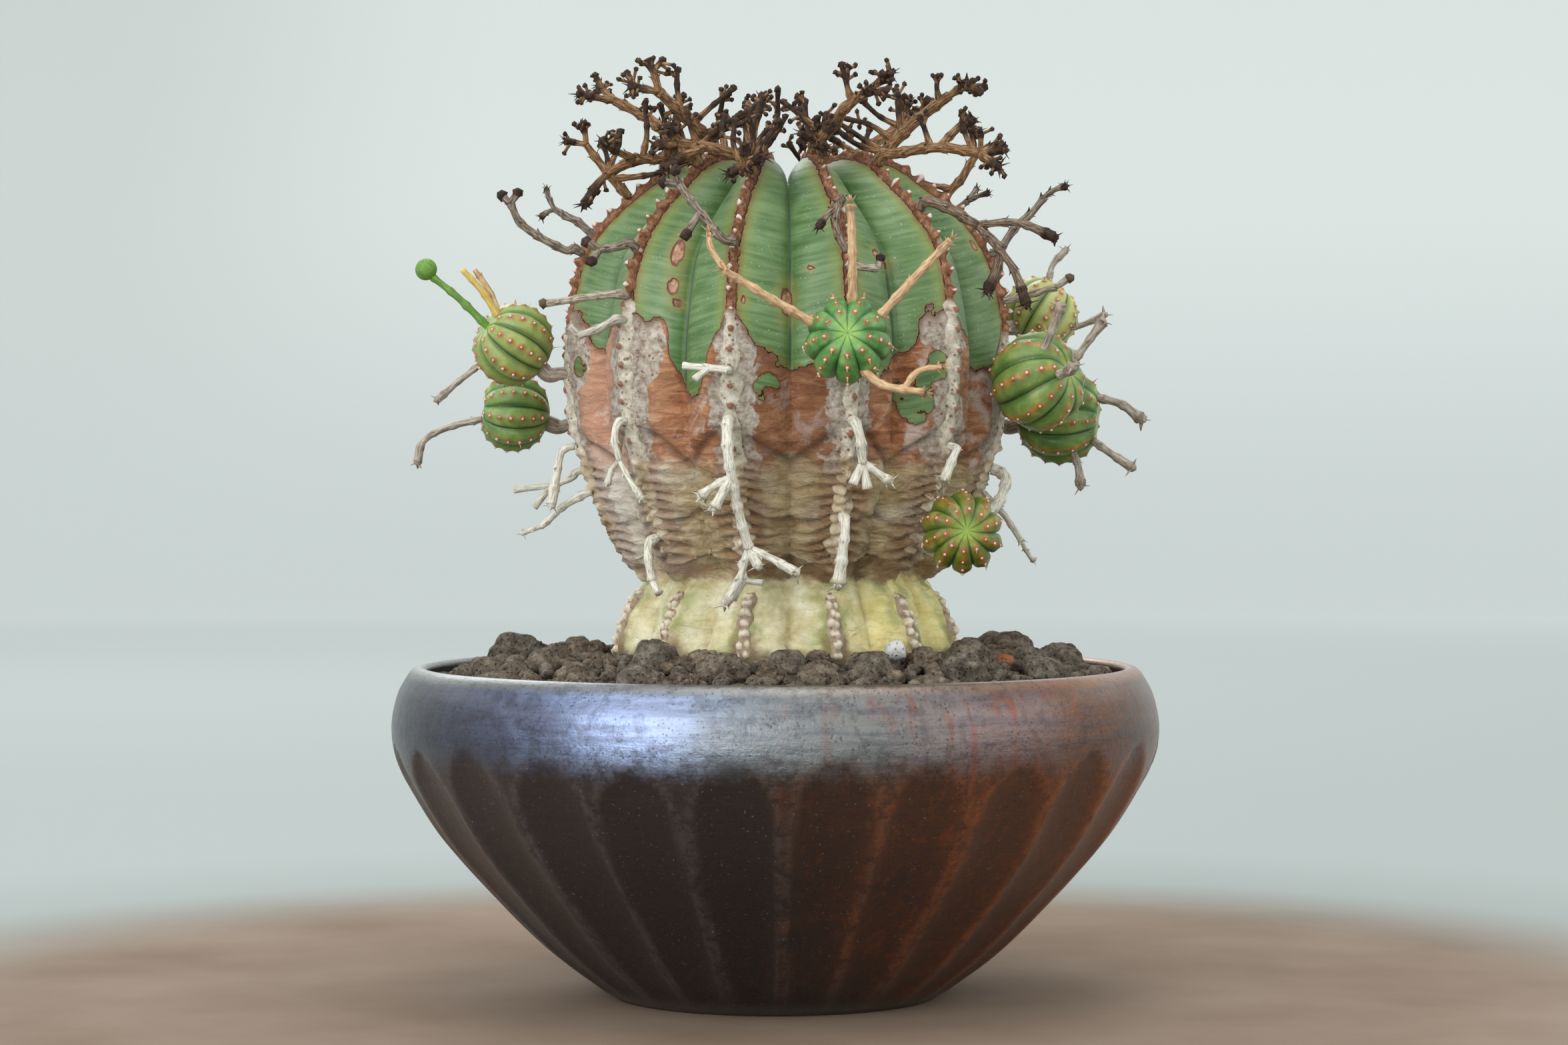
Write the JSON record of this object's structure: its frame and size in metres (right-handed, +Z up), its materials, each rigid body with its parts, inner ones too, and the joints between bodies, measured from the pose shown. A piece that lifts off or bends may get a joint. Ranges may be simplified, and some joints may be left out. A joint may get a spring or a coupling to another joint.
{
  "type": "potted euphorbia",
  "caption": "Ribbed succulent stem with corky margins, dried flower stalks and round offsets, in lava grit in a fluted glazed stoneware bowl.",
  "frame": {"origin": "centre of the bowl's foot, on the surface that it stands on", "axes": "+Z up, -Y towards the front of the plant that the picture shows, +X to its right"},
  "size_m": [0.1707, 0.1708, 0.2068],
  "materials": {
    "bowl_glaze": "dark iridescent metallic glaze, satin gloss",
    "net_plastic": "matte black",
    "lava_grit": "rough porous lava",
    "stem_skin": "waxy green skin above, wrinkled cork below",
    "rib_cork": "dry cork and weathered stalks",
    "pup_skin": "satin green skin"
  },
  "bodies": {
    "root": {"pot": "bowl_glaze", "drain_net": "net_plastic", "soil": "lava_grit", "stem": "stem_skin", "rib_edge_01": "rib_cork", "rib_edge_02": "rib_cork", "rib_edge_03": "rib_cork", "rib_edge_04": "rib_cork", "rib_edge_05": "rib_cork", "rib_edge_06": "rib_cork", "rib_edge_07": "rib_cork", "rib_edge_08": "rib_cork", "rib_edge_09": "rib_cork", "rib_edge_10": "rib_cork", "rib_edge_11": "rib_cork", "rib_edge_12": "rib_cork", "pup_left_upper": "pup_skin", "pup_left_lower": "pup_skin", "pup_front": "pup_skin", "pup_right_upper": "pup_skin", "pup_right_front": "pup_skin", "pup_right_lower": "pup_skin", "pup_low_right": "pup_skin"}
  },
  "joints": []
}
